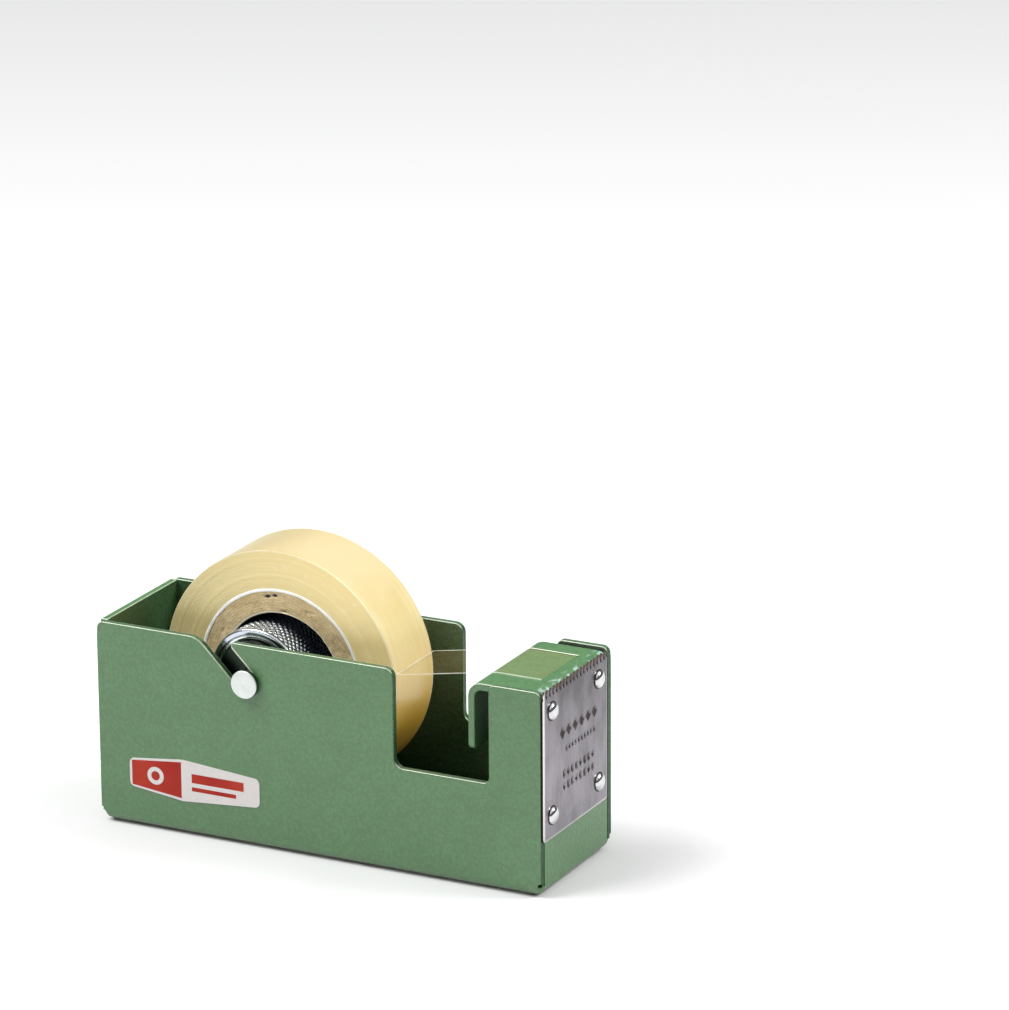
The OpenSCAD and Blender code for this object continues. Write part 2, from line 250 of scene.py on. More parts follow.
def case_paint(name, base, light, gloss=1.0, rough=0.42):
    """Fine pebbled enamel with a slight mottle and chips at the teeth, with a painted shadow in the gap
    beside the platform, a paler lowest edge as painted light and a painted highlight along the slot's rim.
    """
    s = Shader(name)
    pebbles = s.cells(0.8)
    grain = s.noise(0.3, 4)
    drift = s.noise(7, 3)
    specks = s.range(s.noise(0.5, 2), 0.58, 0.72, 0, 0.32)
    colour = s.mix(s.range(drift, 0.3, 0.7), base, light)
    colour = s.mix(s.range(pebbles, 0.15, 0.75, 0.0, 0.6), colour, tuple(c * 0.66 for c in base))
    colour = s.mix(specks, colour, (0.14, 0.23, 0.11))

    # Chipped paint on the platform's last millimetres, next to the cutter's teeth
    x, y, z = s.xyz()
    off_middle = s.math("ABSOLUTE", y)
    chip_half_width = 14.2 * MM
    chipped = s.product(s.range(x, CASE_HIGH.x - 3.0 * MM, CASE_HIGH.x - 1.2 * MM),
                        s.range(z, BLADE_HIGH.z - 2.2 * MM, BLADE_HIGH.z - 1.2 * MM),
                        s.math("LESS_THAN", off_middle, chip_half_width),
                        s.range(s.noise(1.1, 4, (1, 0.6, 1)), 0.5, 0.62))
    colour = s.mix(chipped, colour, (0.30, 0.46, 0.40))

    # Shadow in the narrow gap between the platform and the rims of the side plates
    platform_length = 15.5 * MM
    inner_face = CASE_HIGH.y - SHEET
    gap = s.product(s.math("GREATER_THAN", z, BLADE_HIGH.z - SHEET / 2),
                    s.math("GREATER_THAN", x, CASE_HIGH.x - platform_length),
                    s.between(off_middle, inner_face - NEAR, inner_face + NEAR))
    colour = s.mix(gap, colour, (0.006, 0.014, 0.006))

    # Painted light: the lowest edge is paler, to lift the shade in the gap under the case, and a painted
    # highlight runs along the slot's rim on its cutter side
    colour = s.mix(s.range(z, CASE_LOW.z + 0.5 * MM, CASE_LOW.z + 0.1 * MM), colour, (0.30, 0.30, 0.24))
    off_slot, up_slot = slot_distances(s)
    rim = s.product(s.range(off_slot, SLOT_HALF + 0.50 * MM, SLOT_HALF + 0.40 * MM),
                    s.math("GREATER_THAN", off_slot, SLOT_HALF),
                    s.range(up_slot, 0, 1 * MM, 0, 0.85))
    colour = s.mix(rim, colour, (0.60, 0.64, 0.52))

    height = s.math("ADD", s.product(pebbles, -0.8), s.product(grain, 0.4))
    s.set(Base_Color=colour, Roughness=s.range(grain, 0.3, 0.7, rough, rough + 0.14),
          Normal=s.bump(height, 0.14, 0.7), Specular_IOR_Level=gloss, Coat_Weight=0.5 * gloss,
          Coat_Roughness=rough)
    return s.material


def edge_paint():
    """Thin paint on the sheet's rounded edges, with a painted highlight where an edge looks up and along the
    slot.
    """
    s = Shader("case_paint_edge")
    normal = s.add("ShaderNodeTexCoord").outputs["Normal"]
    looking_up = s.add("ShaderNodeSeparateXYZ", {0: normal}).outputs[2]
    rub = s.noise(1.5, 4)
    off_slot, up_slot = slot_distances(s)
    by_slot = s.product(s.math("LESS_THAN", s.math("ABSOLUTE", off_slot), SLOT_HALF + 0.8 * MM),
                        s.math("GREATER_THAN", up_slot, 0))
    # Painted highlight: pale paint where an edge looks up towards the lamps and along the slot, broken into
    # patches by noise
    lit_edge = s.math("MAXIMUM", s.range(looking_up, 0.28, 0.6), s.product(by_slot, 0.8))
    painted_highlight = s.product(lit_edge, s.range(rub, 0.25, 0.6, 0.55, 1.0))
    s.set(Base_Color=s.mix(painted_highlight, (0.035, 0.10, 0.03), (0.40, 0.47, 0.34)),
          Roughness=s.range(rub, 0.3, 0.7, 0.2, 0.35), Specular_IOR_Level=0.9, Normal=s.bump(rub, 0.03, 0.3))
    return s.material


def cutter_steel():
    """Clouded steel whose clouds are painted reflections, darker towards the teeth and lighter towards its
    left end, with a painted highlight on two edges.
    """
    s = Shader("cutter_steel")
    blotches = s.noise(5.5, 3, (1, 1, 0.5))
    haze = s.noise(2.2, 4, (1, 1, 0.35))
    fine = s.noise(0.22, 3, (1, 1, 0.12))
    _, y, z = s.xyz()
    up = s.range(z, BLADE_LOW.z, BLADE_HIGH.z)
    along = s.range(y, BLADE_LOW.y, BLADE_HIGH.y)
    # Painted reflection: blotches and haze, darker towards the teeth and lighter towards the left end
    painted_reflection = s.math("ADD", s.range(blotches, 0.3, 0.7, 0, 0.55), s.range(haze, 0.3, 0.7, 0, 0.3))
    painted_reflection = s.math("ADD", painted_reflection, s.range(up, 0.25, 0.95, 0.35, -0.25))
    painted_reflection = s.math("ADD", painted_reflection, s.range(along, 0.0, 0.25, 0.3, 0.0), clamp=True)
    colour = s.mix(painted_reflection, (0.10, 0.092, 0.10), (0.31, 0.29, 0.32))
    # Painted highlight along the left and lowest edges
    left_highlight = s.range(y, BLADE_LOW.y + 0.85 * MM, BLADE_LOW.y + 0.4 * MM)
    low_highlight = s.range(z, BLADE_LOW.z + 0.6 * MM, BLADE_LOW.z + 0.3 * MM, 0, 0.7)
    colour = s.mix(s.math("MAXIMUM", left_highlight, low_highlight), colour, (0.74, 0.70, 0.71))
    rough = s.math("ADD", s.range(blotches, 0.3, 0.7, 0.24, 0.36), s.range(fine, 0.3, 0.7, -0.04, 0.04))
    s.set(Base_Color=colour, Metallic=1.0, Roughness=rough, Normal=s.bump(fine, 0.010, 0.45))
    return s.material


def tooth_wall():
    """Darker, browner steel: painted shade between the teeth, a painted dark reflection round the rivet
    domes, and the colour inside the punched marks and on the plate's narrow sides.
    """
    s = Shader("tooth_wall")
    grain = s.noise(0.3, 3)
    s.set(Base_Color=s.mix(grain, (0.028, 0.020, 0.017), (0.065, 0.045, 0.036)), Metallic=1.0,
          Roughness=s.range(grain, 0.3, 0.7, 0.35, 0.55), Normal=s.bump(grain, 0.02, 0.5))
    return s.material


def polished_metal(name, colour, roughness, spread=0.09):
    """Smooth metal with faint smears. Its roughness varies from roughness up by spread."""
    s = Shader(name)
    smear = s.noise(1.2, 4)
    s.set(Base_Color=s.mix(s.range(smear, 0.3, 0.7), tuple(c * 0.88 for c in colour), colour),
          Metallic=1.0, Roughness=s.range(smear, 0.3, 0.7, roughness, roughness + spread),
          Normal=s.bump(smear, 0.006, 0.4))
    return s.material


def turned_metal(name, colour, roughness, axis, pitch_mm):
    """Metal with fine rings left by a lathe tool round the Y axis through axis."""
    s = Shader(name)
    radius = s.radius_from(axis)
    rings = s.math("SINE", s.product(radius, 2 * math.pi / (pitch_mm * MM)))
    patches = s.noise(1.5, 3)
    s.set(Base_Color=s.mix(s.range(patches, 0.3, 0.7), tuple(c * 0.88 for c in colour), colour),
          Metallic=1.0, Roughness=s.range(patches, 0.3, 0.7, roughness, roughness + 0.12),
          Normal=s.bump(rings, 0.004, 0.35))
    return s.material


def wound_tape():
    """Pale yellow, slightly translucent stack of film. Its side faces show faint layers. Light and shade are
    painted in as well: a highlight round each face's rim, a darker top, amber shade underneath and shade
    towards the left end.
    """
    s = Shader("wound_tape")
    radius = s.radius_from(ROLL)
    x, y, _ = s.xyz()
    half = (TAPE_REAR - TAPE_FRONT) / 2
    off_middle = s.math("ABSOLUTE", s.math("SUBTRACT", y, (TAPE_FRONT + TAPE_REAR) / 2))
    on_side = s.range(off_middle, half - 0.22 * MM, half - 0.12 * MM)

    # Side faces: rings of layers, a few scuffs and a painted highlight round the outer rim
    layer_size = 0.3 * MM
    ring_place = s.add("ShaderNodeCombineXYZ", {0: s.product(radius, 1 / layer_size)}).outputs[0]
    layers = s.add("ShaderNodeTexNoise", {"Vector": ring_place, "Scale": 1.0, "Detail": 5,
                                          "Roughness": 0.6}).outputs["Fac"]
    bands = s.add("ShaderNodeTexNoise", {"Vector": ring_place, "Scale": 0.12, "Detail": 2}).outputs["Fac"]
    scuffs = s.noise(1.6, 4, roughness=0.6)
    rim_highlight = s.range(radius, WINDING_R - 0.6 * MM, WINDING_R - 0.25 * MM, 0, 0.55)
    face = s.mix(s.range(bands, 0.35, 0.65), (0.76, 0.605, 0.265), (0.85, 0.69, 0.33))
    face = s.mix(s.range(layers, 0.35, 0.75, 0, 0.16), face, (0.90, 0.76, 0.41))
    face = s.mix(s.range(scuffs, 0.6, 0.72, 0, 0.4), face, (0.90, 0.85, 0.66))
    face = s.mix(rim_highlight, face, (0.95, 0.88, 0.66))

    # Tread: cloudy, streaked, paler beside its edges, painted darker where it looks up and painted amber
    # shade where it looks down, with a dark line along each edge
    clouds = s.noise(8, 3)
    streaks = s.noise(2.2, 3, (0.1, 1.6, 0.1))
    normal = s.add("ShaderNodeNewGeometry").outputs["Normal"]
    looking_up = s.add("ShaderNodeSeparateXYZ", {0: normal}).outputs[2]
    by_edge = s.range(off_middle, half - 2.2 * MM, half - 1.2 * MM, 0, 0.35)
    edge_line = s.range(off_middle, half - 0.55 * MM, half - 0.3 * MM, 0, 0.5)
    tread = s.mix(s.range(clouds, 0.3, 0.7), (0.70, 0.555, 0.235), (0.76, 0.615, 0.29))
    tread = s.mix(s.range(streaks, 0.45, 0.75, 0, 0.5), tread, (0.80, 0.70, 0.40))
    tread = s.mix(by_edge, tread, (0.82, 0.72, 0.42))
    tread = s.mix(s.range(looking_up, 0.5, 0.9), tread, (0.60, 0.485, 0.265))
    tread = s.mix(s.range(looking_up, 0.42, -0.35), tread, (0.68, 0.40, 0.05))
    tread = s.mix(edge_line, tread, (0.52, 0.36, 0.10))

    # Painted shade: the roll is darker towards its left end
    left_painted_shade = s.range(x, ROLL.x + 14 * MM, ROLL.x - 26 * MM, 0, 0.6)
    colour = s.mix(left_painted_shade, s.mix(on_side, tread, face), (0.38, 0.34, 0.17))
    s.set(Base_Color=colour, Roughness=s.range(clouds, 0.3, 0.7, 0.28, 0.42),
          Subsurface_Weight=0.18, Subsurface_Radius=(1.2 * MM, 0.8 * MM, 0.3 * MM), Subsurface_Scale=1.0,
          Coat_Weight=0.3, Coat_Roughness=0.25, Normal=s.bump(s.product(layers, on_side), 0.035, 0.6))
    return s.material


def film(name, alpha, colour, roughness):
    """Clear film that is easier to see where it lies on the platform than where it hangs free."""
    s = Shader(name)
    ripple = s.noise(5, 2, (0.4, 1.6, 1))
    haze = s.noise(2.5, 3, (0.5, 1.5, 1))
    x, _, _ = s.xyz()
    laid_down = s.range(x, middle("body_shell").x + 30 * MM, middle("body_shell").x + 36 * MM, 0.6, 1.0)
    seen = s.product(laid_down, s.range(haze, 0.3, 0.7, alpha * 0.8, alpha * 1.2))
    s.set(Base_Color=colour, Alpha=seen, Roughness=roughness, Normal=s.bump(ripple, 0.15, 0.25))
    return s.material


def core_board():
    """Grey-brown fibrous board, wound in plies, with a painted highlight round its bore."""
    s = Shader("core_board")
    ply = 0.55 * MM
    bore_r = CORE_R - CORE_WALL
    fibre = s.noise(0.45, 5, roughness=0.65)
    cloud = s.noise(2.6, 3)
    radius = s.radius_from(ROLL)
    plies = s.math("SINE", s.product(radius, 2 * math.pi / ply))
    colour = s.mix(s.range(cloud, 0.3, 0.7), (0.38, 0.275, 0.13), (0.54, 0.42, 0.225))
    colour = s.mix(s.range(fibre, 0.4, 0.65, 0, 0.6), colour, (0.66, 0.54, 0.33))
    # Painted highlight round the bore's rounded edge
    colour = s.mix(s.range(radius, bore_r + 0.42 * MM, bore_r + 0.3 * MM), colour, (0.80, 0.73, 0.54))
    height = s.math("ADD", fibre, s.product(plies, 0.10))
    s.set(Base_Color=colour, Roughness=0.88, Normal=s.bump(height, 0.14, 0.7), Specular_IOR_Level=0.25)
    return s.material


def board_painted_shade():
    """Dark blue-grey board, painted shade for the core's bore and dents."""
    s = Shader("board_painted_shade")
    fibre = s.noise(0.5, 4)
    s.set(Base_Color=s.mix(fibre, (0.016, 0.024, 0.045), (0.04, 0.05, 0.075)), Roughness=0.9,
          Normal=s.bump(fibre, 0.1, 0.5))
    return s.material


def white_paper():
    """Matt white paper with a faint fibre."""
    s = Shader("white_paper")
    fibre = s.noise(0.4, 4)
    s.set(Base_Color=s.mix(fibre, (0.78, 0.77, 0.72), (0.92, 0.91, 0.87)), Roughness=0.8,
          Normal=s.bump(fibre, 0.05, 0.5))
    return s.material


def label_print():
    """Coated sticker: a red field with a plain ring, and two red bars on off-white, inside a pale border."""
    s = Shader("label_print")
    low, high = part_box("front_label")
    x, _, z = s.xyz()
    along = s.range(x, low.x, high.x)
    up = s.range(z, low.z, high.z)
    field_end = 0.4
    ring_inner_r, ring_outer_r = 1.0 * MM, 1.9 * MM
    from_ring_x = s.math("SUBTRACT", x, low.x + field_end / 2 * (high.x - low.x))
    from_ring_z = s.math("SUBTRACT", z, (low.z + high.z) / 2)
    ring = s.between(s.length(from_ring_x, from_ring_z), ring_inner_r, ring_outer_r)
    field = s.product(s.math("LESS_THAN", along, field_end), s.math("SUBTRACT", 1.0, ring))
    upper_bar = s.product(s.between(up, 0.48, 0.70), s.between(along, 0.48, 0.88))
    lower_bar = s.product(s.between(up, 0.28, 0.38), s.between(along, 0.48, 0.82))

    # The border follows the six-sided outline, which rises from each end to its tallest point
    rise = s.math("MINIMUM", s.range(along, 0, LABEL_PEAK), s.range(along, 1, LABEL_PEAK))
    half_height = s.range(rise, 0, 1, LABEL_END_PART / 2 - 0.06, 0.44)
    off_line = s.math("ABSOLUTE", s.math("SUBTRACT", up, 0.5))
    inside = s.product(s.math("LESS_THAN", off_line, half_height), s.between(along, 0.018, 0.982))
    inked = s.product(s.math("ADD", field, s.math("ADD", upper_bar, lower_bar), clamp=True), inside)

    wear = s.noise(0.8, 4)
    sheen = s.noise(9, 2)
    paper = s.mix(wear, (0.56, 0.53, 0.52), (0.66, 0.62, 0.61))
    red = s.mix(s.range(sheen, 0.3, 0.7), (0.30, 0.014, 0.008), (0.40, 0.034, 0.016))
    s.set(Base_Color=s.mix(inked, paper, red), Roughness=0.45, Specular_IOR_Level=0.2,
          Normal=s.bump(wear, 0.01, 0.4))
    return s.material


def rubber_pad():
    """Light grey, matt, fine grained."""
    s = Shader("rubber_pad")
    grain = s.noise(0.5, 4)
    s.set(Base_Color=s.mix(grain, (0.52, 0.52, 0.50), (0.66, 0.66, 0.64)), Roughness=0.8,
          Normal=s.bump(grain, 0.06, 0.6))
    return s.material


def floor_material():
    s = Shader("floor")
    s.set(Base_Color=(0.67, 0.67, 0.67), Roughness=0.6, Specular_IOR_Level=0.2)
    return s.material


# ---------------------------------------------------------------- case

def sharp_edge_weights(angle, lowest):
    """Node group that gives bevel weight 1 to the edges sharper than angle that lie above a height."""
    tree = bpy.data.node_groups.new("sharp edge weights", "GeometryNodeTree")
    for way in ("INPUT", "OUTPUT"):
        tree.interface.new_socket("Geometry", in_out=way, socket_type="NodeSocketGeometry")
    nodes, links = tree.nodes, tree.links
    start, end = nodes.new("NodeGroupInput"), nodes.new("NodeGroupOutput")
    ends = nodes.new("GeometryNodeInputMeshEdgeVertices")
    lower = nodes.new("ShaderNodeMath")
    lower.operation = "MINIMUM"
    for place, index in ((ends.outputs["Position 1"], 0), (ends.outputs["Position 2"], 1)):
        split = nodes.new("ShaderNodeSeparateXYZ")
        links.new(place, split.inputs[0])
        links.new(split.outputs[2], lower.inputs[index])
    turn = nodes.new("GeometryNodeInputMeshEdgeAngle")
    tests = []
    for value, limit in ((lower.outputs[0], lowest), (turn.outputs["Unsigned Angle"], angle)):
        test = nodes.new("ShaderNodeMath")
        test.operation = "GREATER_THAN"
        test.inputs[1].default_value = limit
        links.new(value, test.inputs[0])
        tests.append(test.outputs[0])
    both = nodes.new("ShaderNodeMath")
    both.operation = "MULTIPLY"
    for index, value in enumerate(tests):
        links.new(value, both.inputs[index])
    store = nodes.new("GeometryNodeStoreNamedAttribute")
    store.data_type = "FLOAT"
    store.domain = "EDGE"
    store.inputs["Name"].default_value = "bevel_weight_edge"
    links.new(start.outputs[0], store.inputs["Geometry"])
    links.new(both.outputs[0], store.inputs["Value"])
    links.new(store.outputs["Geometry"], end.inputs[0])
    return tree


OUTSIDE, EDGE, TOP_CUT, SIDE_CUT, SHADED_INSIDE = range(5)


def case_materials():
    """The case's materials, in the order of the five names above."""
    # The inside paint is a darker copy of the outside paint: painted shade
    return [case_paint("case_paint", (0.040, 0.150, 0.034), (0.053, 0.174, 0.048)),
            edge_paint(),
            case_paint("case_paint_top_cut", (0.04, 0.105, 0.036), (0.055, 0.13, 0.05), 0.7),
            case_paint("case_paint_side_cut", (0.016, 0.062, 0.016), (0.024, 0.084, 0.024), 0.25),
            case_paint("case_paint_inside_painted_shade", (0.016, 0.064, 0.013), (0.022, 0.082, 0.018))]


def case_paint_at(centre, normal):
    """Which paint a face gets. Cut faces that look up are paler than the others, and the inside takes a
    darker paint as painted shade.
    """
    above_base_bend = CASE_LOW.z + 1.7 * MM
    in_side_plate = abs(centre.y) > CASE_HIGH.y - SHEET - NEAR
    in_end_plate = abs(centre.x) > CASE_HIGH.x - SHEET - NEAR
    if in_side_plate and abs(normal.y) < 0.05 and centre.z > above_base_bend:
        return TOP_CUT if normal.z > 0.8 else SIDE_CUT
    side_inside = in_side_plate and normal.y * centre.y < 0 and abs(normal.y) > 0.9
    end_inside = in_end_plate and normal.x * centre.x < 0 and abs(normal.x) > 0.9
    base_inside = normal.z > 0.9 and centre.z < CASE_LOW.z + 2 * SHEET
    return SHADED_INSIDE if side_inside or end_inside or base_inside else OUTSIDE


def weld(obj):
    """Joins the corners that the frame's separate faces share."""
    obj.modifiers.new("weld", "WELD").merge_threshold = 0.002 * MM


def dress_case():
    """Paints the case and rounds the sheet's edges."""
    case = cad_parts["body_shell"]
    case.data.materials.clear()
    for material in case_materials():
        case.data.materials.append(material)
    turn = case.matrix_world.to_3x3()
    for polygon in case.data.polygons:
        centre = case.matrix_world @ polygon.center
        polygon.material_index = case_paint_at(centre, (turn @ polygon.normal).normalized())
    weld(case)
    flat = case.modifiers.new("flat faces", "DECIMATE")
    flat.decimate_type = "DISSOLVE"
    flat.angle_limit = math.radians(0.5)
    flat.delimit = {"MATERIAL"}
    weights = case.modifiers.new("edge weights", "NODES")
    domed_corner_height = 3.0 * MM
    weights.node_group = sharp_edge_weights(math.radians(40), CASE_LOW.z + domed_corner_height)
    bevel = case.modifiers.new("edges", "BEVEL")
    bevel.width = 0.22 * MM
    bevel.segments = 3
    bevel.limit_method = "WEIGHT"
    bevel.use_clamp_overlap = False
    bevel.material = EDGE
    bevel.harden_normals = True


def dress_node(node, material, bevel_mm=0.0):
    """Gives a carried-over CAD node one material, and rounds its edges if bevel_mm is more than 0."""
    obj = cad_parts[node]
    obj.data.materials.clear()
    obj.data.materials.append(material)
    for polygon in obj.data.polygons:
        polygon.material_index = 0
    if bevel_mm:
        weld(obj)
        bevel = obj.modifiers.new("edges", "BEVEL")
        bevel.width = bevel_mm * MM
        bevel.segments = 2
        bevel.limit_method = "ANGLE"
        bevel.angle_limit = math.radians(40)
        bevel.harden_normals = True


dress_case()
dress_node("front_label", label_print())
dress_node("ballast_block", polished_metal("ballast_steel", (0.1, 0.1, 0.1), 0.5), 0.5)
dress_node("ballast_screws", polished_metal("screw_steel", (0.5, 0.5, 0.5), 0.3))
dress_node("base_pad", rubber_pad(), 0.12)
dress_node("axle_shaft", polished_metal("axle_metal", (0.35, 0.36, 0.35), 0.2))


# ---------------------------------------------------------------- cutter plate

TOOTH_COUNT = 19
TOOTH_DEPTH = 1.2 * MM
FLUTE_LENGTH = 1.75 * MM
COLUMNS_PER_TOOTH = 12
BODY_ROWS = 216
TOOTH_ROWS = 9


def punched_marks():
    """Plain marks as (y, z, half width, half height, kind), in metres from the plate's middle."""
    marks = []
    for i in range(6):
        marks.append(((-5.9 + 2.87 * i) * MM, 4.9 * MM, 1.25 * MM, 1.3 * MM, "lozenge"))
    for i in range(10):
        marks.append(((-4.1 + 1.38 * i) * MM, 1.15 * MM, 0.45 * MM, 0.6 * MM, "dot"))
    for row in range(2):
        for i in range(8):
            kind = "lozenge" if (i + row) % 3 == 1 else "dot"
            marks.append(((-5.2 + 1.83 * i) * MM, (-3.9 - 2.7 * row) * MM, 0.6 * MM, 0.85 * MM, kind))
    return marks


def mark_relief(marks, y, z):
    """How far a point is punched in, from 0 to 1, and how far the metal stands up there, beside a mark."""
    punched, raised = 0, 0
    mark_end, ridge_end = 1.12, 1.4
    for mark_y, mark_z, half_width, half_height, kind in marks:
        u, w = abs(y - mark_y) / half_width, abs(z - mark_z) / half_height
        if max(u, w) < 1.35:
            reach = u + w if kind == "lozenge" else math.hypot(u, w)
            punched = max(punched, min(1, max(0, (mark_end - reach) / 0.34)))
            if mark_end <= reach < ridge_end:
                raised += 0.02 * MM * math.sin((reach - mark_end) / (ridge_end - mark_end) * math.pi)
    return punched, raised


def cutter():
    """Toothed steel plate with ground flutes, rolled-over edges and rows of plain punched marks."""
    marks = punched_marks()
    centre = middle("cutter_blade")
    width = size("cutter_blade").y
    columns = TOOTH_COUNT * COLUMNS_PER_TOOTH
    valley = BLADE_HIGH.z - TOOTH_DEPTH
    flute_bottom = BLADE_HIGH.z - FLUTE_LENGTH
    corner = 1.0 * MM
    roll_over = 1.1 * MM
    verts, dark = [], []

    def low_edge(y):
        inset = min(y - BLADE_LOW.y, BLADE_HIGH.y - y)
        return 0 if inset > corner else corner - math.sqrt(max(0, corner ** 2 - (corner - inset) ** 2))

    def relief(y, z, between_teeth):
        """How far the outer face lies below flat at a point, and whether the point is deep in a mark."""
        depth = 0
        edge = min(y - BLADE_LOW.y, BLADE_HIGH.y - y, z - BLADE_LOW.z)
        if edge < roll_over:
            depth += 0.13 * MM * (1 - edge / roll_over) ** 2.2
        if z > flute_bottom:
            depth += 0.26 * MM * between_teeth ** 1.5 * min(1, (z - flute_bottom) / (0.7 * MM))
        punched, raised = mark_relief(marks, y - centre.y, z - centre.z)
        return depth - raised + 0.2 * MM * punched, punched > 0.8

    for column in range(columns + 1):
        between_teeth = abs(2 * (column / COLUMNS_PER_TOOTH % 1) - 1)
        y = BLADE_LOW.y + width * column / columns
        tip = valley + TOOTH_DEPTH * (1 - between_teeth) + 0.015 * MM
        bottom = BLADE_LOW.z + low_edge(y)
        for row in range(BODY_ROWS + 1):
            z = bottom + (valley - bottom) * row / BODY_ROWS
            depth, in_mark = relief(y, z, between_teeth)
            verts.append((BLADE_HIGH.x - depth, y, z))
            # Deep in a mark the plate takes the darker steel; at the flutes' bottoms between the teeth it is
            # painted shade
            dark.append(in_mark or (z > valley - 0.55 * MM and between_teeth > 0.6))
        for row in range(1, TOOTH_ROWS + 1):
            z = valley + (tip - valley) * row / TOOTH_ROWS
            depth, _ = relief(y, z, between_teeth)
            verts.append((BLADE_HIGH.x - depth, y, z))
            dark.append(between_teeth > 0.55)
    per_column = BODY_ROWS + TOOTH_ROWS + 1
    faces, kinds = [], []
    for column in range(columns):
        a, b = column * per_column, (column + 1) * per_column
        for i in range(per_column - 1):
            faces.append((a + i, b + i, b + i + 1, a + i + 1))
            kinds.append(1 if dark[a + i] and dark[b + i + 1] else 0)

    # The plate's narrow sides, from its outline to a flat back
    outline = [c * per_column for c in range(columns + 1)]
    outline += [columns * per_column + i for i in range(1, per_column)]
    outline += [c * per_column + per_column - 1 for c in range(columns - 1, -1, -1)]
    outline += list(range(per_column - 2, 0, -1))
    first_back = len(verts)
    for index in outline:
        verts.append((BLADE_LOW.x, verts[index][1], verts[index][2]))
    count = len(outline)
    for i in range(count):
        j = (i + 1) % count
        faces.append((outline[j], outline[i], first_back + i, first_back + j))
        kinds.append(1)
    faces.append(tuple(range(first_back + count - 1, first_back - 1, -1)))
    kinds.append(0)
    plate = make_mesh("toothed_plate", verts, faces, 42)
    plate.data.polygons.foreach_set("material_index", kinds)
    finish_piece(plate, "base", "cutter_steel", "cutter_blade", cutter_steel(), tooth_wall())


def rivets():
    """Four polished domes with a thin rounded flange, and their flat tails inside the case."""
    low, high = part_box("blade_rivets")
    face = BLADE_HIGH.x
    head_r = 2.2 * MM
    head_h = high.x - face
    rim = 0.16 * MM
    flange_r = head_r - 0.18 * MM
    dome_r = flange_r - 0.22 * MM
    segments = 48
    dome_steps = 14
    head = [(flange_r - 0.02 * MM, face - 0.02 * MM), (flange_r, face + rim * 0.3),
            (dome_r + 0.04 * MM, face + rim * 0.7), (dome_r, face + rim)]
    for i in range(1, dome_steps + 1):
        rise = math.pi / 2 * i / dome_steps
        head.append((dome_r * math.cos(rise) + POINT, face + rim + (head_h - rim) * math.sin(rise)))
    tail = [(POINT, low.x), (1.7 * MM, low.x), (1.9 * MM, low.x + 0.2 * MM), (2.0 * MM, low.x + 0.8 * MM),
            (1.2 * MM, low.x + 0.8 * MM)]
    verts, faces = [], []
    for cy in (low.y + head_r, high.y - head_r):
        for cz in (low.z + head_r, high.z - head_r):
            for outline in (head, tail):
                first = len(verts)
                count = len(outline)
                for s in range(segments):
                    angle = 2 * math.pi * s / segments
                    for radius, x in outline:
                        verts.append((x, cy + radius * math.cos(angle), cz + radius * math.sin(angle)))
                for s in range(segments):
                    a, b = first + s * count, first + (s + 1) % segments * count
                    for i in range(count - 1):
                        faces.append((a + i, b + i, b + i + 1, a + i + 1))
    heads = make_mesh("rivet_heads", verts, faces, 40)
    finish_piece(heads, "base", "rivet_steel", "blade_rivets",
                 polished_metal("rivet_steel", (0.70, 0.70, 0.71), 0.05, 0.04), tooth_wall())
    # The flange ring takes the darker steel, a painted dark reflection round each dome
    for polygon in heads.data.polygons:
        polygon.material_index = 1 if face < polygon.center.x < face + rim * 0.9 else 0


cutter()
rivets()


# ---------------------------------------------------------------- axle and hub

def axle_buttons():
    """Turned buttons with a rounded edge, a slight dimple in the middle, and a side painted dark as shade.
    """
    metal = turned_metal("button_metal", (0.76, 0.80, 0.775), 0.42, AXLE, 0.22)
    shade = turned_metal("button_side_painted_shade", (0.13, 0.15, 0.13), 0.3, AXLE, 0.22)
    edge = 0.22 * MM
    edge_steps = 4
    for name in ("axle_button_front", "axle_button_rear"):
        low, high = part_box(name)
        outer, inner = (low.y, high.y) if name.endswith("front") else (high.y, low.y)
        out = 1 if outer > inner else -1
        profile = [(POINT, outer - 0.06 * MM * out), (0.35 * MM, outer - 0.02 * MM * out), (0.6 * MM, outer)]
        for i in range(edge_steps + 1):
            turn = math.pi / 2 * i / edge_steps
            inset, drop = edge * (1 - math.sin(turn)), edge * (1 - math.cos(turn))
            profile.append((BUTTON_R - inset, outer - out * drop))
        profile += [(BUTTON_R, inner), (SHAFT_R * 0.7, inner)]
        obj = lathe(name + "_turned", profile, AXLE, 96, closed=False)
        finish_piece(obj, "axle", "axle_metal", name, metal, shade)
        # The side is painted dark, as the shade beside each button
        for polygon in obj.data.polygons:
            polygon.material_index = 1 if abs(polygon.center.y - outer) > edge + NEAR else 0


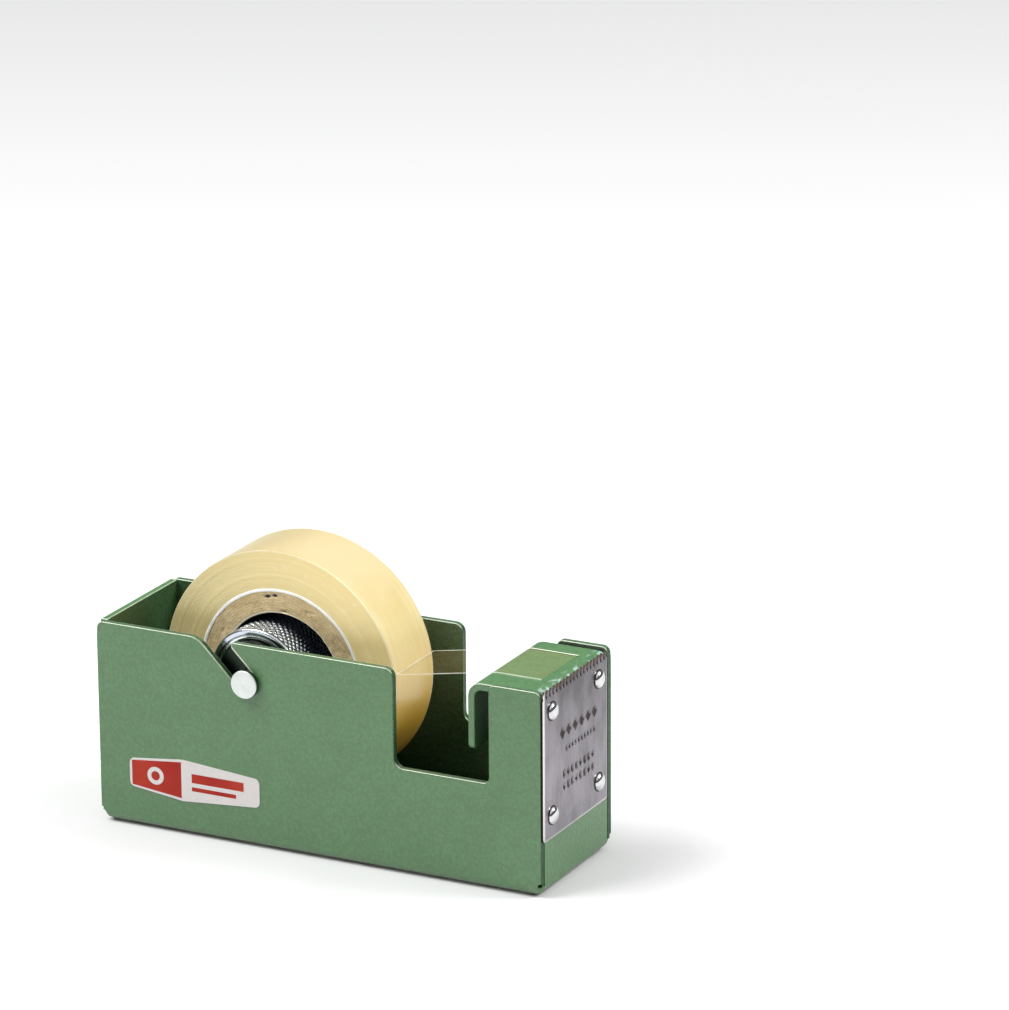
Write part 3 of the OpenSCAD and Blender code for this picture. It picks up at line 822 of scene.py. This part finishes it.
def knurled_hub():
    """Tube with a diamond knurl between two smooth, rounded rims."""
    low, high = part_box("hub_sleeve")
    smooth_rim = 0.75 * MM
    round_r = 0.4 * MM
    cell = 1.45 * MM
    depth = 0.42 * MM
    per_cell = 8
    around = round(2 * math.pi * HUB_R / cell)
    start, end = low.y + smooth_rim, high.y - smooth_rim
    rows = round((end - start) / (cell / per_cell))
    inner = HUB_R - HUB_WALL
    front = [(inner, low.y + 1.5 * MM), (inner, low.y + 0.25 * MM), (inner + 0.12 * MM, low.y + 0.07 * MM),
             (inner + 0.3 * MM, low.y), (HUB_R - round_r, low.y)]
    front += [(HUB_R - round_r + round_r * math.sin(math.radians(a)),
               low.y + round_r - round_r * math.cos(math.radians(a))) for a in (22, 45, 68, 90)]
    knurled = [(HUB_R, start + (end - start) * i / rows) for i in range(rows + 1)]
    profile = front + knurled + mirrored_y(front, (low.y + high.y) / 2)

    def knurl(angle, i):
        if not len(front) <= i < len(front) + len(knurled):
            return 0, 0
        y = profile[i][1]
        turn = around * angle
        run = 2 * math.pi * (y - start) / cell
        ridge = min(abs(math.sin((turn + run) / 2)), abs(math.sin((turn - run) / 2)))
        fade = min(1, min(y - start, end - y) / (0.3 * MM))
        return -depth * (1 - min(1, ridge * 1.4)) * max(0, fade), 0

    hub = lathe("knurled_hub", profile, AXLE, around * per_cell, wobble=knurl, smooth_angle=50)
    # The blue tint of the steel is a painted reflection
    metal = polished_metal("hub_metal", (0.60, 0.65, 0.72), 0.12)
    finish_piece(hub, "hub", "hub_metal", "hub_sleeve", metal)


def hub_discs():
    """A bright flange just inside each end of the tube, round a recessed disc with a raised middle, painted
    dark as the shade in the recess.
    """
    bright = polished_metal("hub_flange_metal", (0.92, 0.94, 0.94), 0.2)
    dark = turned_metal("hub_disc_painted_shade", (0.03, 0.04, 0.032), 0.3, AXLE, 0.4)
    hub_low, hub_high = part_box("hub_sleeve")
    bore_r = SHAFT_R + 0.07 * MM
    raised_r = bore_r + 1.2 * MM
    for name in ("hub_disc_front", "hub_disc_rear"):
        low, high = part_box(name)
        front = name.endswith("front")
        face, back = (low.y, high.y) if front else (high.y, low.y)
        out = 1 if face > back else -1
        outer_r = (high.z - low.z) / 2
        lip = (hub_low.y if front else hub_high.y) - 0.35 * MM * out
        raised = face + 0.3 * MM * out
        profile = [(outer_r, back), (outer_r, lip), (outer_r - 0.2 * MM, lip + 0.12 * MM * out),
                   (outer_r - 0.75 * MM, lip + 0.02 * MM * out), (outer_r - 1.0 * MM, lip - 0.3 * MM * out),
                   (outer_r - 1.15 * MM, face), (raised_r, face), (raised_r, raised), (bore_r, raised),
                   (bore_r, back)]
        obj = lathe(name + "_turned", profile, AXLE, 128, smooth_angle=50)
        finish_piece(obj, "hub", "hub_dark_metal", name, bright, dark)
        # The recessed disc is painted dark as shade
        for polygon in obj.data.polygons:
            reach = math.hypot(polygon.center.x - AXLE.x, polygon.center.z - AXLE.z)
            polygon.material_index = 1 if reach < outer_r - 1.05 * MM else 0


axle_buttons()
knurled_hub()
hub_discs()


# ---------------------------------------------------------------- roll of tape

def winding():
    """Wound film. Each side face is made of many narrow rings that stand slightly proud or shy."""
    rings = 70
    across = 14
    shy = 0.05 * MM
    edge = 0.10 * MM
    offsets = [random.uniform(0, 1) ** 2 * shy for _ in range(rings + 1)]
    front = [(LINER_R + (WINDING_R - edge - LINER_R) * i / rings, TAPE_FRONT + offsets[i] + 0.02 * MM)
             for i in range(rings + 1)]
    front += [(WINDING_R - 0.03 * MM, TAPE_FRONT + edge * 0.5), (WINDING_R, TAPE_FRONT + edge * 1.4)]
    tread = [(WINDING_R, TAPE_FRONT + (TAPE_REAR - TAPE_FRONT) * i / across) for i in range(1, across)]
    profile = front + tread + mirrored_y(front, ROLL.y)

    def wobble(angle, i):
        radius, y = profile[i]
        swell = 0.04 * MM * (math.sin(2 * angle + 0.7) - 1) * (radius / WINDING_R) ** 4
        if radius == WINDING_R:
            ripple = noise.noise(Vector((math.cos(angle) * 2.2, math.sin(angle) * 2.2, y / (6 * MM))))
            swell += 0.05 * MM * (ripple - 0.5)
        point = Vector((math.cos(angle), math.sin(angle), radius / MM * 0.25)) * 1.3
        on_face = i <= rings or i >= len(profile) - rings - 1
        lift = 0.06 * MM * noise.noise(point) if on_face else 0
        return swell, lift if y < ROLL.y else -lift

    obj = lathe("wound_film", profile, ROLL, 256, wobble=wobble)
    finish_piece(obj, "roll", "tape_roll_film", "tape_winding", wound_tape())


# Small dents in the core's ends: angle in degrees, then radius, half width, half length and depth in mm
CORE_DENTS = [(99.4, 16.67, 0.26, 0.55, 0.6), (93.7, 16.8, 0.26, 0.5, 0.6), (66, 15.6, 0.25, 0.35, 0.3),
              (62, 16.1, 0.25, 0.3, 0.26), (85.8, 13.8, 0.22, 0.6, 0.4), (150, 15.2, 0.3, 0.5, 0.2),
              (250, 16, 0.3, 0.5, 0.4), (310, 15, 0.3, 0.5, 0.3)]


def core():
    """Board tube with rounded, uneven ends and a few dents, with painted shade in its bore and dents."""
    edge = 0.3 * MM
    inner_r = CORE_R - CORE_WALL
    rows = 22
    low = TAPE_FRONT + 0.1 * MM
    front = [(inner_r, low + 3 * edge), (inner_r, low + edge), (inner_r + edge * 0.3, low + edge * 0.3)]
    front += [(inner_r + edge + (CORE_R - inner_r - edge) * i / rows, low) for i in range(rows + 1)]
    profile = front + mirrored_y(front, ROLL.y)

    def wobble(angle, i):
        radius, y = profile[i]
        point = Vector((math.cos(angle) * radius, math.sin(angle) * radius, y)) / (0.9 * MM)
        depth = 0.09 * MM * noise.noise(point)
        for degrees, dent_radius, half_width, half_length, dent_depth in CORE_DENTS:
            turn = (angle - math.radians(degrees) + math.pi) % (2 * math.pi) - math.pi
            off_radius = radius / MM - dent_radius
            reach = math.hypot(off_radius / half_width, turn * radius / MM / half_length)
            depth += dent_depth * MM * max(0, 1 - reach / 1.6) ** 0.7
        return 0, depth if y < ROLL.y else -depth

    obj = lathe("board_core", profile, ROLL, 360, wobble=wobble, smooth_angle=60)
    finish_piece(obj, "roll", "core_board", "paper_core", core_board(), board_painted_shade())
    # The bore and the dents' floors take the dark board, as painted shade
    for polygon in obj.data.polygons:
        centre = polygon.center
        reach = math.hypot(centre.x - ROLL.x, centre.z - ROLL.z)
        below = min(centre.y - TAPE_FRONT, TAPE_REAR - centre.y)
        in_bore = reach < inner_r + NEAR and below > 0.8 * MM
        in_dent = reach > inner_r + 0.4 * MM and 0.32 * MM < below < 2 * MM
        polygon.material_index = 1 if in_bore or in_dent else 0


def liner():
    """White paper ring between the core and the film."""
    low = TAPE_FRONT - 0.02 * MM
    front = [(CORE_R + 0.01 * MM, low + 0.06 * MM), (CORE_R + 0.15 * MM, low), (LINER_R - 0.15 * MM, low),
             (LINER_R, low + 0.1 * MM)]
    profile = front + mirrored_y(front, ROLL.y)
    ragged = 0.05 * MM

    def wobble(angle, i):
        out = noise.noise(Vector((math.cos(angle) * 9, math.sin(angle) * 9, i)))
        aside = noise.noise(Vector((math.cos(angle), math.sin(angle), 3)) * 6)
        return ragged * out, ragged * aside

    obj = lathe("paper_liner", profile, ROLL, 300, wobble=wobble)
    finish_piece(obj, "roll", "liner_paper", "core_liner", white_paper())


winding()
core()
liner()


# ---------------------------------------------------------------- free end of the tape

def leader_path():
    """The top line of the CAD strip, as (x, z) points half a millimetre apart or closer."""
    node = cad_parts["tape_leader"]
    points = [node.matrix_world @ vertex.co for vertex in node.data.vertices]
    corners = []
    for x in sorted({round(p.x, 6) for p in points}):
        if not corners or x - corners[-1].x > 0.12 * MM:
            corners.append(Vector((x, max(p.z for p in points if abs(p.x - x) < 0.01 * MM))))
    path = []
    for a, b in zip(corners, corners[1:]):
        steps = max(1, round((b - a).length / (0.5 * MM)))
        path += [a.lerp(b, i / steps) for i in range(steps)]
    return path + [corners[-1]]


def leader():
    """Clear film from the roll over the lip's fold to a zigzag cut on the platform, with painted highlights
    along its edges.
    """
    low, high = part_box("tape_leader")
    path = leader_path()
    width = high.y - low.y
    edge = 0.4 * MM
    strips = 32
    cut_depth = 0.6 * MM
    zigzags = 10.5
    ys = [low.y, low.y + 0.05 * MM] + [low.y + (width - edge) * i / strips for i in range(1, strips)]
    ys += [high.y - edge, high.y]
    verts, faces, kinds = [], [], []
    for x, z in path:
        for y in ys:
            across = (y - low.y) / width
            along = min(1, (x - low.x) / (20 * MM))
            sag = 0.10 * MM * math.sin(math.pi * across) ** 2 * math.sin(math.pi * along)
            turned_down = 0.2 * MM if y == low.y else 0
            in_cut = max(0, min(1, (x - high.x + cut_depth) / cut_depth))
            zigzag = 0.5 * MM * abs(2 * (across * zigzags % 1) - 1) * in_cut
            verts.append((x - zigzag, y, z - sag - turned_down - 0.01 * MM))
    count = len(ys)
    for i in range(len(path) - 1):
        for j in range(count - 1):
            a = i * count + j
            faces.append((a, a + count, a + count + 1, a + 1))
            # Painted highlights: the two edge strips and the first row, where the film leaves the roll, take
            # the pale edge film
            kinds.append(1 if j in (0, count - 2) or i == 0 else 0)
    strip = make_mesh("clear_leader", verts, faces, 60)
    strip.data.materials.append(film("tape_film", 0.085, (0.80, 0.60, 0.26), 0.15))
    strip.data.materials.append(film("tape_film_edge_highlight", 0.8, (0.93, 0.91, 0.78), 0.25))
    strip.data.polygons.foreach_set("material_index", kinds)
    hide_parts("tape_leader")
    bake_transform(strip)


leader()


# ---------------------------------------------------------------- stage, lights and camera

def stage():
    bpy.ops.mesh.primitive_plane_add(size=12, location=(0, 0, 0))
    floor = bpy.context.object
    floor.name = "floor"
    floor.data.materials.append(floor_material())


def area_light(name, place, target, width, power):
    data = bpy.data.lights.new(name, "AREA")
    data.size = width
    data.energy = power
    light = bpy.data.objects.new(name, data)
    light.location = place
    light.rotation_euler = (Vector(target) - Vector(place)).to_track_quat("-Z", "Y").to_euler()
    bpy.context.scene.collection.objects.link(light)


def world_light():
    """A bright studio that is darker near the horizon, so that metal has something to reflect."""
    world = bpy.data.worlds.new("studio")
    world.use_nodes = True
    tree = world.node_tree
    background = tree.nodes["Background"]
    coordinates = tree.nodes.new("ShaderNodeTexCoord")
    split = tree.nodes.new("ShaderNodeSeparateXYZ")
    tree.links.new(coordinates.outputs["Generated"], split.inputs[0])
    ramp = tree.nodes.new("ShaderNodeValToRGB")
    dim, bright = ramp.color_ramp.elements
    dim.position = 0.40
    dim.color = (0.13, 0.135, 0.14, 1)
    bright.position = 0.75
    bright.color = (1.0, 1.0, 1.0, 1)
    tree.links.new(split.outputs[2], ramp.inputs[0])
    tree.links.new(ramp.outputs["Color"], background.inputs["Color"])
    bpy.context.scene.world = world


def camera():
    """A long lens, 27 degrees round to the cutter end and 18 degrees above the desk."""
    azimuth, elevation, roll = (math.radians(a) for a in (26.918, 17.776, -0.367))
    distance = 1.138538
    aim = Vector((0.021786, 0.023832, 0.066490))
    back = Vector((math.sin(azimuth) * math.cos(elevation), -math.cos(azimuth) * math.cos(elevation),
                   math.sin(elevation)))
    level = Vector((math.cos(azimuth), math.sin(azimuth), 0))
    right = math.cos(roll) * level + math.sin(roll) * back.cross(level)
    rotation = Matrix((right, back.cross(right), back)).transposed()
    data = bpy.data.cameras.new("camera")
    data.lens = 201.106
    cam = bpy.data.objects.new("camera", data)
    cam.matrix_world = Matrix.Translation(aim + back * distance) @ rotation.to_4x4()
    bpy.context.scene.collection.objects.link(cam)
    bpy.context.scene.camera = cam


stage()
world_light()
area_light("key", (-0.47, -0.38, 0.85), (0, 0, 0.02), 0.62, 12.0)
area_light("side", (0.80, 0.40, 0.75), (0.02, 0, 0.02), 0.50, 10.0)
camera()
bpy.context.scene.view_settings.view_transform = "Standard"
